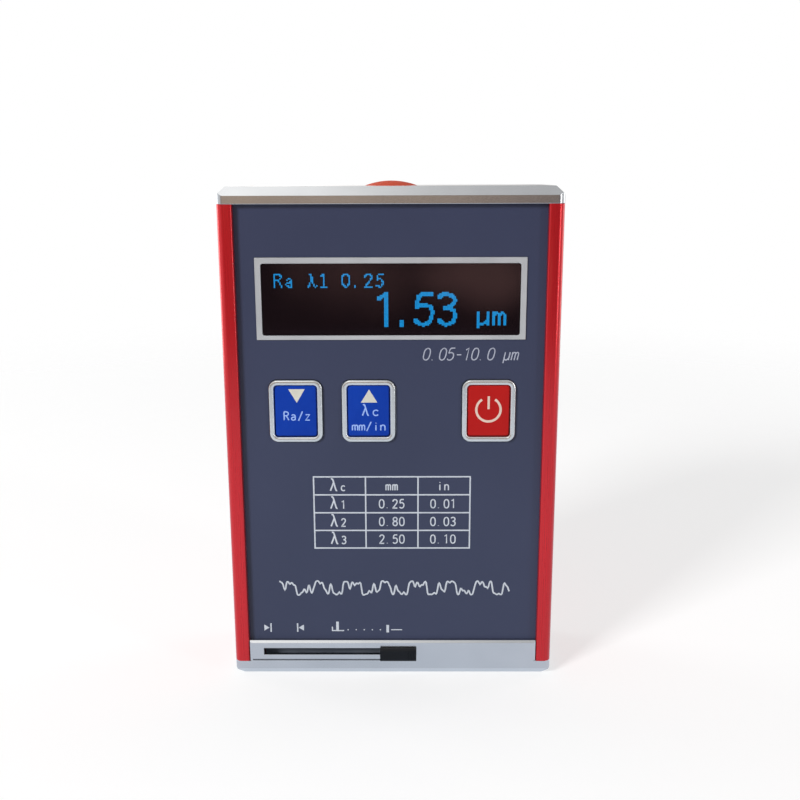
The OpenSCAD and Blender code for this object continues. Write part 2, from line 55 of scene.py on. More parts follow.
def standing(axes, place):
    # the pose of a camera or lamp: its three axes as columns, then its place
    m = np.eye(4)
    m[:3, :3] = np.stack(axes, axis=1)
    m[:3, 3] = place
    return Matrix(m.tolist())


# camera, read off the rail corners of the photograph: millimetres and degrees
cameraView = {"lens": 43.964, "sensor": 36.0, "near": 10.0, "place": (3.135, -210.266, 108.726),
              "down": 12.999, "turn": -0.383, "roll": -0.176}


def addCamera(view):
    # ahead and right follow from the down and turn angles, up is square to both, then both are rolled about ahead
    down, turn, roll = np.radians([view["down"], view["turn"], view["roll"]])
    ahead = np.array([np.sin(turn) * np.cos(down), np.cos(turn) * np.cos(down), -np.sin(down)])
    right = np.array([np.cos(turn), -np.sin(turn), 0.0])
    up = np.cross(right, ahead)
    x = np.cos(roll) * right + np.sin(roll) * up
    y = -np.sin(roll) * right + np.cos(roll) * up
    data = bpy.data.cameras.new("camera")
    data.sensor_width = view["sensor"]
    data.lens = view["lens"]
    data.clip_start = view["near"] * mm
    obj = newObject("camera", data)
    obj.matrix_world = standing((x, y, -ahead), np.array(view["place"]) * mm)
    bpy.context.scene.camera = obj


addCamera(cameraView)
print("camera set")

noiseSpan = (0.3, 0.7)  # where most values of a noise lie


# finishes: every one reads Object coordinates, so the grain stays on the piece
def startFinish(name):
    mat = bpy.data.materials.new(name)
    mat.use_nodes = True
    tree = mat.node_tree
    shader = next(n for n in tree.nodes if n.type == "BSDF_PRINCIPLED")
    return mat, tree, shader


def grain(tree, scale, detail=3.0, rough=0.55):
    # noise on Object coordinates, in features per metre: one number, or one for each axis where it is stretched
    coord = tree.nodes.new("ShaderNodeTexCoord")
    place = tree.nodes.new("ShaderNodeMapping")
    place.inputs["Scale"].default_value = scale if isinstance(scale, tuple) else (scale,) * 3
    noise = tree.nodes.new("ShaderNodeTexNoise")
    noise.inputs["Scale"].default_value = 1.0
    noise.inputs["Detail"].default_value = detail
    noise.inputs["Roughness"].default_value = rough
    tree.links.new(coord.outputs["Object"], place.inputs["Vector"])
    tree.links.new(place.outputs["Vector"], noise.inputs["Vector"])
    return noise.outputs["Fac"]


def ramp(tree, fac, low, high):
    # colour that runs from low to high over the span of a noise
    node = tree.nodes.new("ShaderNodeValToRGB")
    for stop, place, tone in zip(node.color_ramp.elements, noiseSpan, (low, high)):
        stop.position = place
        stop.color = (*tone, 1.0)
    tree.links.new(fac, node.inputs["Fac"])
    return node.outputs["Color"]


def spread(tree, fac, low, high):
    # number that runs from low to high over the span of a noise
    node = tree.nodes.new("ShaderNodeMapRange")
    for socket, value in zip(("From Min", "From Max", "To Min", "To Max"), (*noiseSpan, low, high)):
        node.inputs[socket].default_value = value
    tree.links.new(fac, node.inputs["Value"])
    return node.outputs["Result"]


def relief(tree, fac, depth):
    node = tree.nodes.new("ShaderNodeBump")
    node.inputs["Distance"].default_value = depth * mm
    node.inputs["Strength"].default_value = 1.0
    tree.links.new(fac, node.inputs["Height"])
    return node.outputs["Normal"]


def sumUp(tree, kind, a, b=0.0):
    # one sum of two values, each a number or a socket
    node = tree.nodes.new("ShaderNodeMath")
    node.operation = kind
    for place, value in zip(node.inputs, (a, b)):
        if isinstance(value, (int, float)):
            place.default_value = value
        else:
            tree.links.new(value, place)
    return node.outputs[0]


def soften(tree, value, start, end):
    # smooth step from 0 at start to 1 at end
    node = tree.nodes.new("ShaderNodeMapRange")
    node.interpolation_type = "SMOOTHSTEP"
    node.inputs["From Min"].default_value = start
    node.inputs["From Max"].default_value = end
    tree.links.new(value, node.inputs["Value"])
    return node.outputs["Result"]


def tones(tree, fac, low, high):
    # blend of two colours, which may be brighter than white
    node = tree.nodes.new("ShaderNodeMix")
    node.data_type = "RGBA"
    for place, value in zip((node.inputs[0], node.inputs[6], node.inputs[7]), (fac, low, high)):
        if isinstance(value, tuple):
            place.default_value = (*value, 1.0)
        else:
            tree.links.new(value, place)
    return node.outputs[2]


def placeOn(tree):
    # X, Y and Z of the piece's Object coordinates
    part = tree.nodes.new("ShaderNodeSeparateXYZ")
    tree.links.new(tree.nodes.new("ShaderNodeTexCoord").outputs["Object"], part.inputs[0])
    return part.outputs


grains = {"broad": (2.0, 0.55), "fine": (4.0, 0.65)}  # detail and roughness of the two noises


def finish(name, look):
    # colour drifts between two tones over a broad noise, gloss and relief follow a fine one
    mat, tree, shader = startFinish(name)
    broad = grain(tree, look["broad"], *grains["broad"])
    fine = grain(tree, look["fine"], *grains["fine"])
    low, high = (linear(*tone) for tone in look["tone"])
    tree.links.new(ramp(tree, broad, low, high), shader.inputs["Base Color"])
    tree.links.new(spread(tree, fine, *look["gloss"]), shader.inputs["Roughness"])
    tree.links.new(relief(tree, fine, look["relief"]), shader.inputs["Normal"])
    shader.inputs["Metallic"].default_value = look.get("metal", 0.0)
    shader.inputs["Specular IOR Level"].default_value = look.get("shine", 0.5)
    shader.inputs["Coat Weight"].default_value = look.get("coat", 0.0)
    shader.inputs["Coat Roughness"].default_value = look.get("coatRough", 0.1)
    return mat


# tones are screen colours, broad and fine are features per metre, relief is in millimetres
looks = {
    "redAnodised": {"tone": ((196, 24, 33), (205, 29, 39)), "broad": (60, 60, 12), "fine": (5200, 5200, 90),
                    "gloss": (0.26, 0.31), "relief": 0.0006, "metal": 0.65, "shine": 0.3,
                    "coat": 0.5, "coatRough": 0.1},
    "plateSilver": {"tone": ((192, 195, 199), (198, 201, 205)), "broad": 90, "fine": 4200,
                    "gloss": (0.15, 0.25), "relief": 0.002, "metal": 1.0},
    "frameSilver": {"tone": ((188, 191, 195), (202, 205, 209)), "broad": 120, "fine": (6500, 900, 900),
                    "gloss": (0.36, 0.48), "relief": 0.002, "metal": 0.45},
    "rimSilver": {"tone": ((200, 204, 205), (212, 215, 216)), "broad": 150, "fine": 3800,
                  "gloss": (0.18, 0.27), "relief": 0.001, "metal": 0.95},
    "panelNavy": {"tone": ((52, 58, 82), (56, 62, 87)), "broad": 28, "fine": 3600,
                  "gloss": (0.30, 0.40), "relief": 0.002, "shine": 0.36},
    "keyBlue": {"tone": ((8, 54, 158), (12, 60, 166)), "broad": 160, "fine": 4200,
                "gloss": (0.38, 0.50), "relief": 0.002, "shine": 0.2},
    "keyRed": {"tone": ((174, 22, 22), (182, 27, 25)), "broad": 160, "fine": 4200,
               "gloss": (0.38, 0.50), "relief": 0.002, "shine": 0.2},
    "buttonRed": {"tone": ((190, 66, 40), (198, 73, 46)), "broad": 140, "fine": 3000,
                  "gloss": (0.55, 0.66), "relief": 0.002, "shine": 0.1},
    "knobBlack": {"tone": ((9, 12, 17), (14, 17, 23)), "broad": 200, "fine": 5200,
                  "gloss": (0.30, 0.42), "relief": 0.003, "shine": 0.2},
    "partBlack": {"tone": ((28, 28, 30), (38, 38, 41)), "broad": 200, "fine": 3200,
                  "gloss": (0.48, 0.62), "relief": 0.006},
    # a grey sheet set behind the slot where there is only shade: its tone stands in for the dim light inside the slot
    "slotShadeSheetGrey": {"tone": ((96, 102, 112), (109, 115, 125)), "broad": 200, "fine": 3200,
                  "gloss": (0.42, 0.56), "relief": 0.004, "shine": 0.3},
    "moduleBlack": {"tone": ((18, 13, 16), (24, 17, 20)), "broad": 60, "fine": 2200,
                    "gloss": (0.30, 0.40), "relief": 0.001, "shine": 0.2},
    "boardGreen": {"tone": ((20, 84, 50), (28, 98, 60)), "broad": 140, "fine": 2600,
                   "gloss": (0.30, 0.42), "relief": 0.004},
    "steel": {"tone": ((150, 152, 156), (172, 174, 178)), "broad": 260, "fine": (4800, 4800, 1200),
              "gloss": (0.24, 0.36), "relief": 0.002, "metal": 1.0},
    "driveAlloy": {"tone": ((160, 162, 166), (178, 180, 184)), "broad": 140, "fine": (1500, 6000, 6000),
                   "gloss": (0.34, 0.48), "relief": 0.003, "metal": 1.0},
    "brass": {"tone": ((188, 154, 82), (204, 170, 98)), "broad": 200, "fine": (4200, 4200, 1200),
              "gloss": (0.26, 0.38), "relief": 0.002, "metal": 1.0},
}
inkLook = {"broad": 300, "fine": 5200, "gloss": (0.45, 0.58), "relief": 0.001, "shine": 0.3}
inkTones = {
    "printPale": ((196, 203, 214), (208, 214, 223)),
    "printGrey": ((164, 168, 184), (176, 180, 196)),
    "printBlue": ((150, 180, 242), (164, 192, 248)),
    "printCream": ((208, 205, 194), (218, 215, 205)),
    "printRose": ((222, 196, 182), (230, 205, 192)),
}
looks.update({name: {"tone": tone, **inkLook} for name, tone in inkTones.items()})
finishes = {name: finish(name, look) for name, look in looks.items()}

# middle is the window's height, half is where its cut sides begin
windowLook = {"tint": (104, 92, 96), "edge": (14, 12, 14), "mirror": (0.85, 0.62, 0.85), "bend": 1.5,
              "rough": 0.02, "smear": 0.04, "wipes": (40, 40, 220), "middle": 83.75, "half": (26.46, 7.31)}


def smokedGlass(name, look):
    # clear tinted glass, with faint wiping marks in its gloss; the cut sides are blackened
    mat, tree, shader = startFinish(name)
    marks = grain(tree, look["wipes"])
    place = placeOn(tree)
    across = sumUp(tree, "SUBTRACT", sumUp(tree, "ABSOLUTE", place["X"]), look["half"][0] * mm)
    height = sumUp(tree, "SUBTRACT", place["Z"], look["middle"] * mm)
    along = sumUp(tree, "SUBTRACT", sumUp(tree, "ABSOLUTE", height), look["half"][1] * mm)
    side = sumUp(tree, "GREATER_THAN", sumUp(tree, "MAXIMUM", across, along), 0.0)
    tint = tones(tree, side, linear(*look["tint"]), linear(*look["edge"]))
    tree.links.new(tint, shader.inputs["Base Color"])
    tree.links.new(sumUp(tree, "SUBTRACT", 1.0, side), shader.inputs["Transmission Weight"])
    shader.inputs["IOR"].default_value = look["bend"]
    shader.inputs["Specular Tint"].default_value = (*look["mirror"], 1.0)
    gloss = spread(tree, marks, look["rough"], look["rough"] + look["smear"])
    tree.links.new(gloss, shader.inputs["Roughness"])
    return mat


# middle is half the height of the tester, fade is the depth over which the painted recess shade deepens
screwLook = {"tone": ((150, 152, 156), (172, 174, 178)), "broad": 260, "fine": 4800, "gloss": (0.26, 0.38),
             "relief": 0.002, "metal": 1.0, "recessShade": (44, 45, 48), "middle": 53.25, "fade": (0.04, 0.4)}


def shadedRecessSteel(name, look):
    # steel with painted shade down the recess: the depth under a head is middle - |z - middle|
    mat = finish(name, look)
    tree = mat.node_tree
    base = next(n for n in tree.nodes if n.type == "BSDF_PRINCIPLED").inputs["Base Color"]
    away = sumUp(tree, "ABSOLUTE", sumUp(tree, "SUBTRACT", placeOn(tree)["Z"], look["middle"] * mm))
    depth = sumUp(tree, "SUBTRACT", look["middle"] * mm, away)
    shade = soften(tree, depth, look["fade"][0] * mm, look["fade"][1] * mm)
    # painted shade: the colour runs from the steel to the dark shade colour as the recess deepens
    tree.links.new(tones(tree, shade, base.links[0].from_socket, linear(*look["recessShade"])), base)
    return mat


# level is the strength of the glow, unlit is the linear colour of the pixel itself
litLook = {"tone": (6, 155, 221), "level": 8.5, "flicker": 0.14, "spots": 1600, "unlit": (0.01, 0.03, 0.08),
           "rough": 0.6}


def litPixels(name, look):
    # glowing pixels, each a little brighter or duller than the next
    mat, tree, shader = startFinish(name)
    spots = grain(tree, look["spots"], 1.0)
    full = np.array(linear(*look["tone"]))
    glow = ramp(tree, spots, tuple(full * (1 - look["flicker"])), tuple(full))
    tree.links.new(glow, shader.inputs["Emission Color"])
    shader.inputs["Emission Strength"].default_value = look["level"]
    shader.inputs["Base Color"].default_value = (*look["unlit"], 1.0)
    shader.inputs["Roughness"].default_value = look["rough"]
    return mat


finishes["smokedGlass"] = smokedGlass("smokedGlass", windowLook)
finishes["shadedRecessSteel"] = shadedRecessSteel("shadedRecessSteel", screwLook)
finishes["litBlue"] = litPixels("litBlue", litLook)
print("finishes made:", len(finishes))

# which finish each solid carries
nodeFinish = {
    "case_extrusion": "redAnodised", "top_plate": "plateSilver", "bottom_plate": "plateSilver",
    "top_screws": "shadedRecessSteel", "bottom_screws": "shadedRecessSteel", "front_panel": "panelNavy",
    "display_bezel": "frameSilver", "display_window": "smokedGlass", "display_module": "moduleBlack",
    "rim_down": "rimSilver", "rim_up": "rimSilver", "rim_power": "rimSilver",
    "key_down": "keyBlue", "key_up": "keyBlue", "key_power": "keyRed",
    "start_button": "buttonRed", "slide_knob": "knobBlack", "slot_guard": "slotShadeSheetGrey", "shutter": "steel",
    "main_board": "boardGreen", "board_posts": "brass", "board_screws": "steel", "battery": "partBlack",
    "switch_down": "partBlack", "switch_up": "partBlack", "switch_power": "partBlack", "start_switch": "partBlack",
    "drive_frame": "driveAlloy", "frame_screws": "steel", "motor": "steel", "lead_screw": "steel",
    "guide_rod_front": "steel", "guide_rod_back": "steel", "carriage": "brass",
    "pivot_pin": "steel", "pickup": "driveAlloy", "stylus": "steel",
}
for name, look in nodeFinish.items():
    for place in nodes[name].material_slots:
        place.link = "OBJECT"
        place.material = finishes[look]
print("solids dressed:", len(nodeFinish))


# mesh helpers
def smoothed(mesh, sharp):
    mesh.polygons.foreach_set("use_smooth", np.ones(len(mesh.polygons), bool))
    mesh.set_sharp_from_angle(angle=math.radians(sharp))


def addPiece(name, points, faces, look, body, slotName, sharp=35.0):
    mesh = bpy.data.meshes.new(name)
    mesh.from_pydata((np.asarray(points) * mm).tolist(), [], faces)
    smoothed(mesh, sharp)
    mesh.materials.append(finishes[look])
    obj = newObject(name, mesh)
    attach(obj, body)
    return obj


def gridFaces(n, m, closeN, closeM):
    # quads of an n by m grid of points, wrapped round where a direction closes
    i = np.arange(n if closeN else n - 1)[:, None]
    j = np.arange(m if closeM else m - 1)[None, :]
    i2, j2 = (i + 1) % n, (j + 1) % m
    quads = np.stack([i * m + j, i * m + j2, i2 * m + j2, i2 * m + j], axis=-1)
    return quads.reshape(-1, 4)


def softCorners(w, h, r, steps=10):
    # rounded rectangle as corner centres and directions: point = centre + (r + offset) * direction
    t = np.linspace(0, np.pi / 2, steps)
    turns = np.concatenate([t + k * np.pi / 2 for k in range(4)])
    signs = np.repeat(np.array([[1, 1], [-1, 1], [-1, -1], [1, -1]]), steps, axis=0)
    return signs * np.array([w / 2 - r, h / 2 - r]), np.stack([np.cos(turns), np.sin(turns)], axis=1)


def roundOver(outer, inner, y0, y1, r, steps=6):
    # profile over a rim: up the outer wall, a quarter round, across, a quarter round, down the inner wall
    t = np.linspace(0, np.pi / 2, steps)
    first = np.stack([outer - r + r * np.cos(t), y1 + r - r * np.sin(t)], axis=1)
    second = np.stack([inner + r - r * np.sin(t), y1 + r - r * np.cos(t)], axis=1)
    return np.concatenate([[[outer, y0]], first, second, [[inner, y0]]])


# silver surrounds of the three keys
rimSize = {"w": 11.3, "h": 13.4, "r": 1.9, "band": 1.15, "front": -11.3, "seat": -8.6, "back": -7.6,
           "lip": 1.0, "round": 0.42}


def rimSurface(x, z, size):
    # the profile (offset from the outline, depth) is carried round the rounded rectangle
    centre, way = softCorners(size["w"], size["h"], size["r"])
    top = roundOver(0.0, -size["band"], size["seat"], size["front"], size["round"])
    lip = [[-size["band"], size["back"]], [size["lip"], size["back"]], [size["lip"], size["seat"]]]
    profile = np.concatenate([top, lip])
    flat = centre[:, None, :] + way[:, None, :] * (size["r"] + profile[None, :, 0, None])
    depth = np.broadcast_to(profile[None, :, 1], flat.shape[:2])
    points = np.stack([flat[..., 0] + x, depth, flat[..., 1] + z], axis=-1)
    faces = gridFaces(*flat.shape[:2], True, True)[:, ::-1]
    return points.reshape(-1, 3), faces.tolist()


keyPlaces = {"down": (-20.1, 60.3), "up": (-4.8, 60.3), "power": (20.4, 60.3)}
for name, (x, z) in keyPlaces.items():
    points, faces = rimSurface(x, z, rimSize)
    piece = addPiece("rim_" + name + "_round", points, faces, "rimSilver", "housing", "frame_silver")
    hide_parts("rim_" + name)
print("key surrounds made")

# key caps: flat pads with a soft edge and a slight crown, on a flange and a stem
capSize = {"w": 8.8, "h": 10.9, "r": 0.6, "front": -10.95, "crown": 0.1, "edge": 0.28, "back": -6.6,
           "flangeFront": -7.5, "flange": 0.8, "stem": 1.5, "stemBack": -5.95,
           "cornerSteps": 8, "frontLoops": 11, "edgeLoops": 5}


def crownOf(u, v, size):
    # height lost towards the edges: crown * (1 - (1 - u^4)(1 - v^4)), u and v from -1 to 1 across the cap
    return size["crown"] * (1 - (1 - np.clip(u, -1, 1) ** 4) * (1 - np.clip(v, -1, 1) ** 4))


def capSurface(x, z, size):
    # loops of the rounded rectangle: grown from the middle over the front, then round the edge, flange and stem
    centre, way = softCorners(size["w"], size["h"], size["r"], size["cornerSteps"])
    outline = centre + way * size["r"]
    grow = np.linspace(0.0, 1.0, size["frontLoops"] + 1)[1:]
    inset = 1 - size["edge"] * 2 / size["w"]
    front = outline[None] * (grow * inset)[:, None, None]
    half = np.array([size["w"], size["h"]]) / 2
    frontY = size["front"] + crownOf(front[..., 0] / half[0], front[..., 1] / half[1], size)
    t = np.linspace(0, np.pi / 2, size["edgeLoops"] + 1)[1:]
    edge = outline[None] * inset + (outline - outline * inset)[None] * np.sin(t)[:, None, None]
    edgeY = frontY[-1][None] + size["edge"] * (1 - np.cos(t))[:, None]
    out = centre + way * (size["r"] + size["flange"])
    turn = np.linspace(0, 2 * np.pi, len(way), endpoint=False)
    stem = np.stack([np.cos(turn), np.sin(turn)], axis=1) * size["stem"]
    backY = np.array([size["flangeFront"], size["flangeFront"], size["back"], size["back"], size["stemBack"]])
    loops = np.concatenate([front, edge, [outline, out, out, stem, stem]])
    depth = np.concatenate([frontY, edgeY, np.repeat(backY[:, None], len(way), axis=1)])
    n, m = depth.shape
    points = np.stack([loops[..., 0] + x, depth, loops[..., 1] + z], axis=-1).reshape(-1, 3)
    points = np.concatenate([points, [[x, size["front"], z], [x, size["stemBack"], z]]])
    quads = gridFaces(n, m, False, True)[:, ::-1]
    j = np.arange(m)
    tip = np.stack([np.full(m, n * m), j, (j + 1) % m], axis=1)
    tail = np.stack([np.full(m, n * m + 1), (n - 1) * m + j, (n - 1) * m + (j + 1) % m], axis=1)[:, ::-1]
    return points, quads.tolist() + tip.tolist() + tail.tolist()


capFinish = {"down": ("keyBlue", "key_blue"), "up": ("keyBlue", "key_blue"), "power": ("keyRed", "key_red")}
for name, (x, z) in keyPlaces.items():
    points, faces = capSurface(x, z, capSize)
    piece = addPiece("cap_" + name, points, faces, capFinish[name][0], name + "_key", capFinish[name][1])
    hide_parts("key_" + name)
print("key caps made")

# black seal between the rim of the window and the display behind it: width, height and corner of its two outlines
sealSize = {"middle": 83.75, "outer": (53.04, 14.74, 0.48), "inner": (50.6, 12.5, 0.3), "front": -9.36, "back": -9.21}


def sealSurface(size):
    # two rounded rectangles, each at two depths, joined into a flat ring
    outlines = []
    for w, h, r in (size["outer"], size["inner"]):
        centre, way = softCorners(w, h, r)
        outlines.append(centre + way * r)
    outer, inner = outlines
    loops = np.stack([outer, inner, inner, outer], axis=1)
    depth = np.broadcast_to(np.repeat([size["front"], size["back"]], 2), loops.shape[:2])
    points = np.stack([loops[..., 0], depth, loops[..., 1] + size["middle"]], axis=-1)
    return points.reshape(-1, 3), gridFaces(*loops.shape[:2], True, True)[:, ::-1].tolist()


addPiece("window_seal", *sealSurface(sealSize), "moduleBlack", "housing", "display_black")
print("window seal made")

# machined pieces: merge and weld are in millimetres, flat, sharp and corner are angles in degrees
edgeWork = {"merge": 0.002, "flat": 0.5, "sharp": 35.0, "corner": 40.0, "steps": 2, "weld": 0.001}


def brokenEdge(node, name, body, width):
    # the solid's triangles are merged into whole faces, then each corner gets a fine bevel
    mesh = nodes[node].data.copy()
    mesh.name = name
    if "custom_normal" in mesh.attributes:
        mesh.attributes.remove(mesh.attributes["custom_normal"])
    work = bmesh.new()
    work.from_mesh(mesh)
    bmesh.ops.remove_doubles(work, verts=work.verts, dist=edgeWork["merge"] * mm)
    bmesh.ops.dissolve_limit(work, angle_limit=math.radians(edgeWork["flat"]), verts=work.verts, edges=work.edges)
    work.to_mesh(mesh)
    work.free()
    smoothed(mesh, edgeWork["sharp"])
    mesh.materials.clear()
    mesh.materials.append(finishes[nodeFinish[node]])
    obj = newObject(name, mesh)
    bevel = obj.modifiers.new("edge", "BEVEL")
    bevel.width = width * mm
    bevel.segments = edgeWork["steps"]
    bevel.limit_method = "ANGLE"
    bevel.angle_limit = math.radians(edgeWork["corner"])
    bevel.use_clamp_overlap = True
    bevel.harden_normals = True
    obj.modifiers.new("weld", "WELD").merge_threshold = edgeWork["weld"] * mm
    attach(obj, body)
    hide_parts(node)


# new name, body, slot and width of the broken edge
edges = {
    "case_extrusion": ("case_body", "housing", "red_anodised", 0.12),
    "top_plate": ("plate_top", "housing", "plate_silver", 0.22),
    "bottom_plate": ("plate_bottom", "housing", "plate_silver", 0.1),
    "display_bezel": ("bezel_frame", "housing", "frame_silver", 0.12),
    "slide_knob": ("knob_grip", "slider", "black_plastic", 0.1),
    "start_button": ("button_dome", "start_key", "button_red", 0.08),
    "pickup": ("pickup_arm", "pickup_unit", "drive_alloy", 0.05),
}
for node, (name, body, slotName, width) in edges.items():
    brokenEdge(node, name, body, width)
print("machined edges broken:", len(edges))

# a plain single-line hand for numbers, units and signs: strokes on a field 4 wide and 8 high
handField = (4.0, 8.0)
hand = {
    "0": [[(2, 8), (0.6, 7.3), (0, 5.6), (0, 2.4), (0.6, 0.7), (2, 0), (3.4, 0.7), (4, 2.4), (4, 5.6), (3.4, 7.3),
           (2, 8)]],
    "1": [[(0.6, 6.7), (2.3, 8), (2.3, 0)]],
    "1foot": [[(0.8, 6.6), (2.3, 8), (2.3, 0)], [(0.8, 0), (3.8, 0)]],
    "2": [[(0.1, 6.1), (0.6, 7.5), (2, 8), (3.4, 7.5), (3.9, 6.1), (3.3, 4.3), (0.1, 0.1), (0.1, 0), (4, 0)]],
    "3": [[(0.2, 7.0), (1, 7.8), (2.2, 8), (3.5, 7.3), (3.8, 6), (3.3, 4.8), (1.6, 4.3)],
          [(1.6, 4.3), (3.4, 3.8), (4, 2.3), (3.4, 0.6), (2, 0), (0.8, 0.2), (0.1, 1.1)]],
    "5": [[(3.8, 8), (0.7, 8), (0.4, 4.5)],
          [(0.4, 4.5), (1.2, 5), (2.2, 5.1), (3.5, 4.4), (4, 2.7), (3.4, 0.7), (2, 0), (0.8, 0.2), (0.1, 1)]],
    "8": [[(2, 8), (0.6, 7.4), (0.2, 6.1), (0.8, 4.8), (2, 4.3), (3.2, 4.8), (3.8, 6.1), (3.4, 7.4), (2, 8)],
          [(2, 4.3), (0.6, 3.7), (0, 2.2), (0.6, 0.6), (2, 0), (3.4, 0.6), (4, 2.2), (3.4, 3.7), (2, 4.3)]],
    ".": [[(0.9, 0), (0.9, 0.45)]],
    "-": [[(0.5, 3.6), (3.5, 3.6)]],
    "/": [[(0.3, -0.6), (3.7, 8.4)]],
    "m": [[(0, 0), (0, 5.2)], [(0, 3.8), (0.5, 4.9), (1.2, 5.2), (1.9, 4.7), (2, 3.6), (2, 0)],
          [(2, 3.8), (2.5, 4.9), (3.2, 5.2), (3.9, 4.7), (4, 3.6), (4, 0)]],
    "i": [[(2, 0), (2, 5.2)], [(2, 6.8), (2, 7.5)]],
    "n": [[(0.4, 0), (0.4, 5.2)], [(0.4, 3.6), (1, 4.8), (2.1, 5.2), (3.3, 4.7), (3.6, 3.4), (3.6, 0)]],
    "micro": [[(0.4, -2), (0.4, 5.2)], [(0.4, 1.8), (0.8, 0.4), (1.8, 0), (2.9, 0.5), (3.5, 1.8)],
              [(3.5, 5.2), (3.5, 0)]],
    "R": [[(0.2, 0), (0.2, 8)], [(0.2, 8), (2.3, 8), (3.5, 7.4), (3.8, 6.1), (3.3, 4.8), (2.2, 4.3), (0.2, 4.3)],
          [(2, 4.3), (4, 0)]],
    "a": [[(0.5, 4.4), (1.3, 5.1), (2.4, 5.2), (3.3, 4.6), (3.5, 3.4), (3.5, 0)],
          [(3.5, 3), (1.6, 2.8), (0.5, 2.2), (0.3, 1.2), (0.9, 0.2), (2, 0), (3, 0.5), (3.5, 1.5)]],
    "z": [[(0.4, 5.2), (3.6, 5.2), (0.3, 0), (3.8, 0)]],
    "c": [[(3.7, 4.3), (2.8, 5.1), (1.8, 5.1), (0.7, 4.4), (0.3, 2.6), (0.7, 0.8), (1.8, 0), (2.9, 0.1), (3.7, 0.9)]],
    "wave": [[(0.5, 7.7), (1.2, 8), (1.8, 7.2), (3.4, 1), (3.8, 0.1), (4.4, 0.2)], [(2.2, 5.6), (0.1, 0)]],
    " ": [],
}
straight = {"1", "1foot", ".", "-", "/", "i", "z"}


def rounded(path, rounds):
    # each corner is cut at a quarter and three quarters of its sides, the ends stay
    for _ in range(rounds):
        a, b = path[:-1], path[1:]
        cut = np.stack([0.75 * a + 0.25 * b, 0.25 * a + 0.75 * b], axis=1).reshape(-1, 2)
        path = np.concatenate([path[:1], cut, path[-1:]])
    return path


def spell(signs, x, z, height, pitch=0.62, width=0.5, lean=0.0, rounds=2):
    # strokes of a row of signs, first one at x, on the base line z; pitch and width are shares of the height
    rows = []
    for k, sign in enumerate(signs):
        for stroke in hand[sign]:
            path = np.array(stroke, float) / handField * (width * height, height)
            path = path if sign in straight else rounded(path, rounds)
            across = x + k * pitch * height + path[:, 0] + lean * path[:, 1]
            rows.append(np.stack([across, z + path[:, 1]], axis=1))
    return rows


mitreLimit = 0.7  # a mitre reaches no further than this allows, where the path turns sharply


def ribbon(path, width, y0, y1, closed=False):
    # a flat bar carried along the path: its corners are the path plus and minus half a width along the mitre
    path = np.asarray(path, float)
    if closed:
        before, after = np.roll(path, 1, axis=0), np.roll(path, -1, axis=0)
    else:
        before = np.concatenate([path[:1] * 2 - path[1:2], path[:-1]])
        after = np.concatenate([path[1:], path[-1:] * 2 - path[-2:-1]])
    t0, t1 = path - before, after - path
    t0 = t0 / np.linalg.norm(t0, axis=1, keepdims=True)
    t1 = t1 / np.linalg.norm(t1, axis=1, keepdims=True)
    n0 = np.stack([-t0[:, 1], t0[:, 0]], axis=1)
    n1 = np.stack([-t1[:, 1], t1[:, 0]], axis=1)
    mitre = n0 + n1
    mitre = mitre / np.maximum(0.5 * np.sum(mitre * mitre, axis=1, keepdims=True), mitreLimit)
    left, right = path + mitre * width / 2, path - mitre * width / 2
    flat = np.stack([left, right, right, left], axis=1)
    depth = np.broadcast_to(np.array([y1, y1, y0, y0]), flat.shape[:2])
    points = np.stack([flat[..., 0], depth, flat[..., 1]], axis=-1).reshape(-1, 3)
    n = len(path)
    faces = gridFaces(n, 4, closed, True).tolist()
    if not closed:
        faces += [[3, 2, 1, 0], [n * 4 - 4, n * 4 - 3, n * 4 - 2, n * 4 - 1]]
    return points, faces


def plate(outline, y0, y1):
    # a flat shape with straight sides between two depths; an outline that runs the wrong way is turned round
    outline = np.asarray(outline, float)
    turn = np.sum(outline[:, 0] * np.roll(outline[:, 1], -1) - np.roll(outline[:, 0], -1) * outline[:, 1])
    outline = outline if turn > 0 else outline[::-1]
    n = len(outline)
    front = np.stack([outline[:, 0], np.full(n, y1), outline[:, 1]], axis=1)
    back = np.stack([outline[:, 0], np.full(n, y0), outline[:, 1]], axis=1)
    j = np.arange(n)
    sides = np.stack([j, n + j, n + (j + 1) % n, (j + 1) % n], axis=1)
    return np.concatenate([front, back]), [j.tolist(), (n + j[::-1]).tolist()] + sides.tolist()


def gather(shapes):
    # several shapes as one: the corner numbers of each start after those of the last
    points, faces, start = [], [], 0
    for p, f in shapes:
        points.append(p)
        faces += [[v + start for v in face] for face in f]
        start += len(p)
    return np.concatenate(points), faces


panelFace = -10.6
capFace = capSize["front"]
printDepth = {"sink": 0.02, "lift": 0.02, "step": 0.002, "layers": 4}


def layer(face, k=0):
    # the two depths of print on a face: layer k stands k steps above the first, so that crossings stay clean
    return face + printDepth["sink"], face - printDepth["lift"] - printDepth["step"] * (k % printDepth["layers"])


def printed(strokes, width, face):
    return [ribbon(path, width, *layer(face, k)) for k, path in enumerate(strokes)]


def printedRow(row, x, face):
    lean = row.get("lean", 0.0)
    strokes = spell(row["signs"], x + row["x"], row["z"], row["height"], row["pitch"], row["width"], lean)
    return printed(strokes, row["line"], face)


